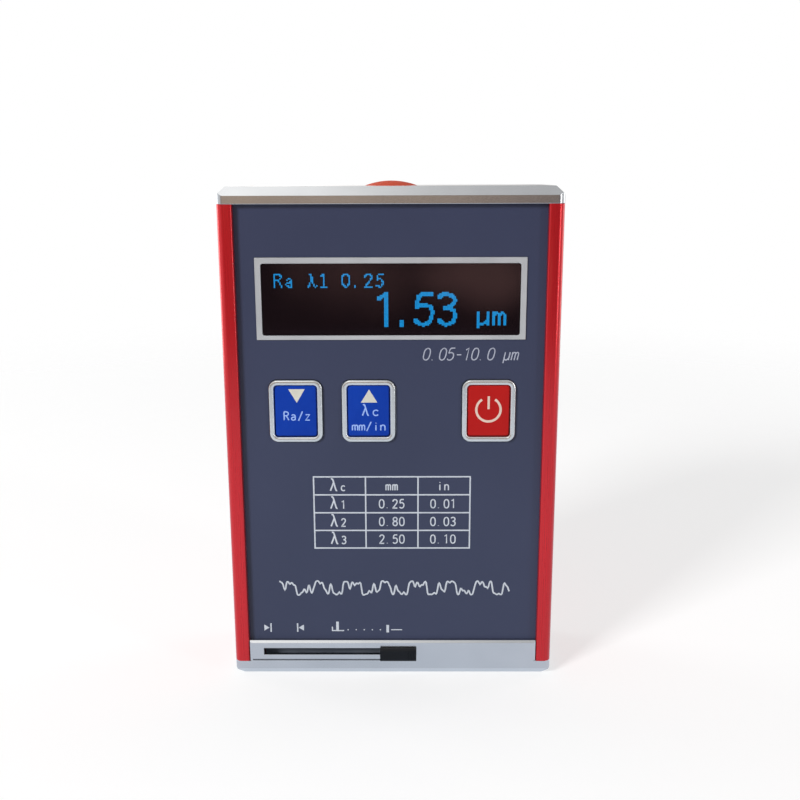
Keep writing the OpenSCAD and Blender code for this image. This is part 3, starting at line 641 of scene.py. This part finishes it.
# table of wavelengths: its lines, then the signs of each row, which are a wave, its index and two numbers
table = {"x": (-16.75, 16.75), "z": (29.63, 45.8), "columns": (-5.65, 5.6), "rows": (41.76, 37.71, 33.68),
         "line": 0.3, "base": (42.68, 38.66, 34.62, 30.6), "waveX": -13.2, "waveHeight": 2.7, "waveStroke": 0.325,
         "indexX": -10.9, "indexHeight": 1.75, "middles": (-0.05, 11.0), "raise": 0.1, "height": 1.95,
         "pitch": 0.74, "width": 0.5, "stroke": 0.26}
cells = [("c", "mm", "in"), ("1", "0.25", "0.01"), ("2", "0.80", "0.03"), ("3", "2.50", "0.10")]
x0, x1 = table["x"]
z0, z1 = table["z"]
h = table["line"] / 2
border = [(x0, z0), (x1, z0), (x1, z1), (x0, z1)]
shapes = [ribbon(border, table["line"], *layer(panelFace), True)]
shapes += [ribbon([(x0 + h, z), (x1 - h, z)], table["line"], *layer(panelFace, 1)) for z in table["rows"]]
shapes += [ribbon([(x, z0 + h), (x, z1 - h)], table["line"], *layer(panelFace, 2)) for x in table["columns"]]
for (index, *numbers), z in zip(cells, table["base"]):
    shapes += printed(spell(["wave"], table["waveX"], z, table["waveHeight"]), table["waveStroke"], panelFace)
    shapes += printed(spell(index, table["indexX"], z, table["indexHeight"]), table["stroke"], panelFace)
    for number, middle in zip(numbers, table["middles"]):
        wide = ((len(number) - 1) * table["pitch"] + table["width"]) * table["height"]
        base = z + table["raise"]
        strokes = spell(number, middle - wide / 2, base, table["height"], table["pitch"], table["width"])
        shapes += printed(strokes, table["stroke"], panelFace)
addPiece("print_table", *gather(shapes), "printPale", "housing", "panel_navy")
print("table printed")

# range line under the display, leaning
rangeLine = {"signs": list("0.05-10.0 ") + ["micro", "m"], "x": 6.5, "z": 71.1, "height": 2.55, "pitch": 0.655,
             "width": 0.5, "line": 0.24, "lean": 0.22}
addPiece("print_range", *gather(printedRow(rangeLine, 0.0, panelFace)), "printGrey", "housing", "panel_navy")

# a roughness trace across the lower panel; each wave has a height, a count and a start
trace = {"x": (-24.8, 25.6), "middle": 20.3, "height": 1.7, "points": 300, "line": 0.34,
         "waves": ((1.0, 7, 0.4), (0.7, 17.3, 1.9), (0.5, 31.7, 0.7), (0.3, 53.1, 2.6))}


def tracePath(size):
    # the sum of the waves, pressed between two levels: height * tanh(sum)
    s = np.linspace(0, 1, size["points"])
    swing = sum(high * np.sin(2 * np.pi * count * s + start) for high, count, start in size["waves"])
    across = size["x"][0] + s * (size["x"][1] - size["x"][0])
    return np.stack([across, size["middle"] + np.tanh(swing) * size["height"]], axis=1)


shape = ribbon(tracePath(trace), trace["line"], *layer(panelFace))
addPiece("print_trace", *shape, "printPale", "housing", "panel_navy")

# travel signs over the slot: two arrows at bars, a step with a post, a row of dots, a post and a dash
travel = {"arrows": ((-28.45, -27.3), (-19.65, -20.8)), "arrowEnds": (10.15, 11.6),
          "bars": (-26.95, -21.05), "barEnds": (9.85, 11.9), "bar": 0.3,
          "step": ((-13.35, 11.1), (-13.35, 10.15), (-10.75, 10.15)), "stepLine": 0.26,
          "posts": (((-12.2, 10.1), (-12.2, 12.3)), ((-1.08, 9.72), (-1.08, 11.5))), "post": 0.6,
          "base": 10.35, "dash": (-0.3, 2.1), "dashLine": 0.22, "dots": (-9.85, -2.7), "dotCount": 5, "dot": 0.25}
low, high = travel["arrowEnds"]
shapes = []
for (start, tip), bar in zip(travel["arrows"], travel["bars"]):
    shapes.append(plate([(start, low), (tip, (low + high) / 2), (start, high)], *layer(panelFace)))
    shapes.append(ribbon([(bar, end) for end in travel["barEnds"]], travel["bar"], *layer(panelFace, 1)))
shapes.append(ribbon(travel["step"], travel["stepLine"], *layer(panelFace)))
shapes += [ribbon(post, travel["post"], *layer(panelFace, 2)) for post in travel["posts"]]
shapes.append(ribbon([(x, travel["base"]) for x in travel["dash"]], travel["dashLine"], *layer(panelFace)))
for x in np.linspace(*travel["dots"], travel["dotCount"]):
    sides = (x - travel["dot"] / 2, x + travel["dot"] / 2)
    shapes.append(ribbon([(side, travel["base"]) for side in sides], travel["dot"], *layer(panelFace)))
addPiece("print_travel", *gather(shapes), "printPale", "housing", "panel_navy")
print("panel signs printed")


# signs on the keys, x counted from the middle of each
def addSign(name, shapes, key, look, slotName):
    # print pressed onto the crown of a cap: every point sinks by the height that the crown loses there
    points, faces = gather(shapes)
    x, z = keyPlaces[key]
    u, v = (points[:, 0] - x) / (capSize["w"] / 2), (points[:, 2] - z) / (capSize["h"] / 2)
    points[:, 1] += crownOf(u, v, capSize)
    addPiece(name, points, faces, look, key + "_key", slotName)


arrowKeys = {
    "down": {"arrow": ((-1.47, 65.05), (0.26, 62.13), (1.98, 65.05)), "rows": [
        {"signs": "Ra/z", "x": -2.534, "z": 58.4, "height": 1.8, "pitch": 0.83, "width": 0.57, "line": 0.26},
    ]},
    "up": {"arrow": ((-1.6, 62.17), (0.13, 64.97), (1.85, 62.17)), "rows": [
        {"signs": ["wave"], "x": -1.32, "z": 59.38, "height": 2.4, "pitch": 0.6, "width": 0.52, "line": 0.286},
        {"signs": "c", "x": 0.85, "z": 59.36, "height": 1.84, "pitch": 0.6, "width": 0.68, "line": 0.26},
        {"signs": "mm/in", "x": -3.452, "z": 56.13, "height": 1.8, "pitch": 0.815, "width": 0.62, "line": 0.26},
    ]},
}
for key, signs in arrowKeys.items():
    x = keyPlaces[key][0]
    arrow = plate([(x + across, z) for across, z in signs["arrow"]], *layer(capFace))
    addSign("arrow_" + key, [arrow], key, "printCream", "key_blue")
    shapes = [shape for row in signs["rows"] for shape in printedRow(row, x, capFace)]
    addSign("sign_" + key, shapes, key, "printBlue", "key_blue")

# the power sign: an open ring and a bar, the gap in degrees to each side of the top
powerSign = {"middle": (-0.05, 60.6), "radius": 2.55, "gap": 32.5, "points": 60, "line": 0.5,
             "bar": ((-0.03, 60.72), (-0.03, 63.48)), "barLine": 0.47}
x = keyPlaces["power"][0]
turn = np.radians(np.linspace(90 + powerSign["gap"], 450 - powerSign["gap"], powerSign["points"]))
ring = np.stack([np.cos(turn), np.sin(turn)], axis=1) * powerSign["radius"] + powerSign["middle"] + (x, 0.0)
shapes = [ribbon(ring, powerSign["line"], *layer(capFace)),
          ribbon([(x + across, z) for across, z in powerSign["bar"]], powerSign["barLine"], *layer(capFace, 1))]
addSign("sign_power", shapes, "power", "printRose", "key_red")
print("key signs printed")

# lit reading behind the window: strokes picked up by a grid of square pixels
screen = {"pixel": 0.29, "fill": 0.265, "back": -9.24, "front": -9.34, "corner": (-24.2, 77.8), "count": (170, 41),
          "sharp": 20.0}
# one entry for each size of sign; half is 1 for strokes that run between two pixels, reach is half a stroke
reading = [
    {"signs": ["R", "a", " ", "wave", "1foot", " ", "0", ".", "2", "5"], "starts": -23.9 + 2.32 * np.arange(10),
     "z": 86.3, "height": 2.61, "width": 1.45, "half": 0, "reach": 0.155},
    {"signs": "1.53", "starts": (-2.96, 1.5, 5.1, 9.86),
     "z": 78.5, "height": 6.38, "width": 3.48, "half": 0, "reach": 0.42},
    {"signs": ["micro", "m"], "starts": (17.9, 21.1),
     "z": 78.45, "height": 3.6, "width": 2.32, "half": 1, "reach": 0.25},
]


def toPixels(strokes, half):
    # corner points moved to the pixel middles, or to the joints between them for double strokes
    first = np.array(screen["corner"]) + half * screen["pixel"] / 2
    return [first + np.round((path - first) / screen["pixel"]) * screen["pixel"] for path in strokes]


def nearStroke(px, pz, path):
    # least distance from each pixel middle to the segments of a path
    a, b = path[:-1], path[1:]
    d = b - a
    qx, qz = px[..., None] - a[:, 0], pz[..., None] - a[:, 1]
    t = np.clip((qx * d[:, 0] + qz * d[:, 1]) / np.maximum(np.sum(d * d, axis=1), 1e-9), 0, 1)
    return np.min(np.hypot(qx - t * d[:, 0], qz - t * d[:, 1]), axis=-1)


def litSpots(row):
    # middles of the pixels that lie within reach of a stroke of the row
    xs, zs = (start + screen["pixel"] * np.arange(count) for start, count in zip(screen["corner"], screen["count"]))
    px, pz = np.meshgrid(xs, zs)
    lit = np.zeros(px.shape, bool)
    for sign, x in zip(row["signs"], row["starts"]):
        strokes = spell([sign], x, row["z"], row["height"], width=row["width"] / row["height"], rounds=0)
        for path in toPixels(strokes, row["half"]):
            lit |= nearStroke(px, pz, path if sign in straight else rounded(path, 1)) < row["reach"]
    return np.stack([px[lit], pz[lit]], axis=1)


def pixelBlocks(spots, size):
    # a flat block on each spot: the four corners of a square at two depths
    corner = np.array([[-1, -1], [1, -1], [1, 1], [-1, 1]]) * size["fill"] / 2
    flat = spots[:, None, :] + np.concatenate([corner, corner])[None]
    depth = np.broadcast_to(np.repeat([size["front"], size["back"]], 4), flat.shape[:2])
    points = np.stack([flat[..., 0], depth, flat[..., 1]], axis=-1).reshape(-1, 3)
    block = np.array([[0, 1, 2, 3], [7, 6, 5, 4], [0, 4, 5, 1], [1, 5, 6, 2], [2, 6, 7, 3], [3, 7, 4, 0]])
    faces = (np.arange(len(spots))[:, None, None] * 8 + block[None]).reshape(-1, 4)
    return points, faces.tolist()


spots = np.unique(np.round(np.concatenate([litSpots(row) for row in reading]), 4), axis=0)
addPiece("lit_reading", *pixelBlocks(spots, screen), "litBlue", "housing", "display_black", screen["sharp"])
print("reading lit, pixels:", len(spots))


# floor, world and lamps, in metres
def backgroundRays(tree):
    # 1 for rays that show the background: straight from the camera, then mirrored or through glass
    path = tree.nodes.new("ShaderNodeLightPath")
    mirrored = sumUp(tree, "MAXIMUM", path.outputs["Is Glossy Ray"], path.outputs["Is Transmission Ray"])
    return path.outputs["Is Camera Ray"], mirrored


# grey of the floor, its depth under the tester in millimetres, its glow where it is seen, and where it fades out
floorLook = {"grey": 0.5, "under": 0.05, "lift": 0.57, "fade": (0.2, 0.55), "sides": 64, "cool": (0.75, 0.84, 0.98)}


def addFloor(look):
    # a round floor that fades out into the white and is clear from below; mirrored, it is a little cooler
    turn = np.linspace(0, 2 * np.pi, look["sides"], endpoint=False)
    reach = look["fade"][1]
    rim = np.stack([reach * np.cos(turn), reach * np.sin(turn), np.full(look["sides"], -look["under"] * mm)], axis=1)
    mesh = bpy.data.meshes.new("floor")
    mesh.from_pydata(rim.tolist(), [], [list(range(look["sides"]))])
    obj = newObject("floor", mesh)
    mat = bpy.data.materials.new("floorPale")
    mat.use_nodes = True
    tree = mat.node_tree
    tree.nodes.clear()
    out = tree.nodes.new("ShaderNodeOutputMaterial")
    diffuse = tree.nodes.new("ShaderNodeBsdfDiffuse")
    diffuse.inputs["Color"].default_value = (look["grey"],) * 3 + (1.0,)
    glow = tree.nodes.new("ShaderNodeEmission")
    seen, mirrored = backgroundRays(tree)
    shown = sumUp(tree, "MAXIMUM", seen, mirrored)
    tree.links.new(sumUp(tree, "MULTIPLY", shown, look["lift"]), glow.inputs["Strength"])
    tree.links.new(tones(tree, mirrored, (1.0, 1.0, 1.0), look["cool"]), glow.inputs["Color"])
    both = tree.nodes.new("ShaderNodeAddShader")
    tree.links.new(diffuse.outputs[0], both.inputs[0])
    tree.links.new(glow.outputs[0], both.inputs[1])
    coord = tree.nodes.new("ShaderNodeTexCoord")
    away = tree.nodes.new("ShaderNodeVectorMath")
    away.operation = "LENGTH"
    tree.links.new(coord.outputs["Object"], away.inputs[0])
    clear = tree.nodes.new("ShaderNodeBsdfTransparent")
    fade = tree.nodes.new("ShaderNodeMixShader")
    below = tree.nodes.new("ShaderNodeNewGeometry").outputs["Backfacing"]
    gone = sumUp(tree, "MAXIMUM", soften(tree, away.outputs["Value"], *look["fade"]), below)
    tree.links.new(gone, fade.inputs[0])
    tree.links.new(both.outputs[0], fade.inputs[1])
    tree.links.new(clear.outputs[0], fade.inputs[2])
    tree.links.new(fade.outputs[0], out.inputs["Surface"])
    mesh.materials.append(mat)


# sky, farSky and front are linear colours, and matt is the strength on matt faces. The turns, ahead and low say over
# which span of the direction's X, Y or Z each takes over. A patch has a place (x, z), a reach (x, z) and a strength
worldLook = {
    "sky": ((1.78, 1.74, 1.68), (0.71, 0.70, 0.69)), "skyTurn": (-0.25, 0.12),
    "farSky": (0.95, 0.95, 0.95), "farTurn": (-0.7, -0.3),
    "front": ((0.10, 0.085, 0.10), (1.12, 0.84, 0.60)), "ahead": (0.45, 0.9), "low": (0.15, 0.6), "dim": 0.12,
    "patches": [((-0.25, 0.06), (0.7, 0.15), 0.72), ((0.085, -0.1), (0.085, 0.045), 0.95),
                ((-0.05, -0.1), (0.09, 0.055), 0.55)],
    "blots": 12.0, "blotDetail": 1.0, "uneven": 0.9,
    "matt": (0.2, 0.55), "mattTurn": (-0.3, 0.6),
}


def addWorld(look):
    # white where it is seen; mirrored, the sky pales from right to left and the low front is dim brown with a few
    # patches; its light on matt faces grows from the front to the back
    world = bpy.data.worlds.new("studio")
    world.use_nodes = True
    bpy.context.scene.world = world
    tree = world.node_tree
    back = next(n for n in tree.nodes if n.type == "BACKGROUND")
    coord = tree.nodes.new("ShaderNodeTexCoord")
    part = tree.nodes.new("ShaderNodeSeparateXYZ")
    tree.links.new(coord.outputs["Generated"], part.inputs[0])
    x, y, z = part.outputs
    ahead = soften(tree, sumUp(tree, "MULTIPLY", y, -1.0), *look["ahead"])
    low = sumUp(tree, "SUBTRACT", 1.0, soften(tree, z, *look["low"]))
    seen, mirrored = backgroundRays(tree)
    blots = tree.nodes.new("ShaderNodeTexNoise")
    blots.inputs["Scale"].default_value = look["blots"]
    blots.inputs["Detail"].default_value = look["blotDetail"]
    tree.links.new(coord.outputs["Generated"], blots.inputs["Vector"])
    uneven = sumUp(tree, "MULTIPLY", sumUp(tree, "SUBTRACT", blots.outputs["Fac"], 0.5), look["uneven"])
    level = look["dim"]
    for (right, up), (wide, tall), strength in look["patches"]:
        across = sumUp(tree, "DIVIDE", sumUp(tree, "SUBTRACT", x, right), wide)
        along = sumUp(tree, "DIVIDE", sumUp(tree, "SUBTRACT", z, up), tall)
        away = sumUp(tree, "ADD", sumUp(tree, "MULTIPLY", across, across), sumUp(tree, "MULTIPLY", along, along))
        edge = soften(tree, sumUp(tree, "ADD", sumUp(tree, "POWER", away, 0.5), uneven), 0.0, 1.0)
        inside = sumUp(tree, "SUBTRACT", 1.0, edge)
        level = sumUp(tree, "ADD", level, sumUp(tree, "MULTIPLY", inside, strength))
    sky = tones(tree, soften(tree, x, *look["skyTurn"]), *look["sky"])
    sky = tones(tree, soften(tree, x, *look["farTurn"]), look["farSky"], sky)
    sky = tones(tree, mirrored, (1.0, 1.0, 1.0), sky)
    facing = sumUp(tree, "MULTIPLY", sumUp(tree, "MULTIPLY", ahead, low), mirrored)
    tree.links.new(tones(tree, facing, sky, tones(tree, level, *look["front"])), back.inputs["Color"])
    shown = sumUp(tree, "MAXIMUM", seen, mirrored)
    rise = sumUp(tree, "MULTIPLY", soften(tree, y, *look["mattTurn"]), look["matt"][1] - look["matt"][0])
    matt = sumUp(tree, "MULTIPLY", sumUp(tree, "SUBTRACT", 1.0, shown), sumUp(tree, "ADD", rise, look["matt"][0]))
    tree.links.new(sumUp(tree, "ADD", shown, matt), back.inputs["Strength"])


# soft boxes: where each stands, how wide and tall it is, its power in watts, and whether shiny faces mirror it
softBoxes = {
    "keyBox": {"place": (-0.99, -1.06, 0.74), "size": (0.4, 0.4), "power": 22.0, "mirrored": False},
    "fillBox": {"place": (1.05, -0.75, 0.3), "size": (0.16, 0.9), "power": 3.2, "mirrored": True},
    "leftWall": {"place": (-0.95, 0.42, 0.3), "size": (0.4, 0.9), "power": 3.0, "mirrored": True},
    "rightWall": {"place": (0.95, 0.42, 0.3), "size": (0.4, 0.9), "power": 2.2, "mirrored": True},
}
boxAim = (0, 0, 0.06)


def addLamp(name, box, aim):
    # a lamp shines against its own z, so z points from the aim to its place, and x stays level
    data = bpy.data.lights.new(name, "AREA")
    data.shape = "RECTANGLE"
    data.size, data.size_y = box["size"]
    data.energy = box["power"]
    obj = newObject(name, data)
    obj.visible_camera = False
    obj.visible_glossy = box["mirrored"]
    z = np.array(box["place"]) - np.array(aim)
    z = z / np.linalg.norm(z)
    x = np.cross([0, 0, 1], z)
    x = x / np.linalg.norm(x)
    obj.matrix_world = standing((x, np.cross(z, x), z), box["place"])


addFloor(floorLook)
addWorld(worldLook)
for name, box in softBoxes.items():
    addLamp(name, box, boxAim)
bpy.context.scene.view_settings.view_transform = "Standard"
print("stage set")

bpy.context.view_layer.update()
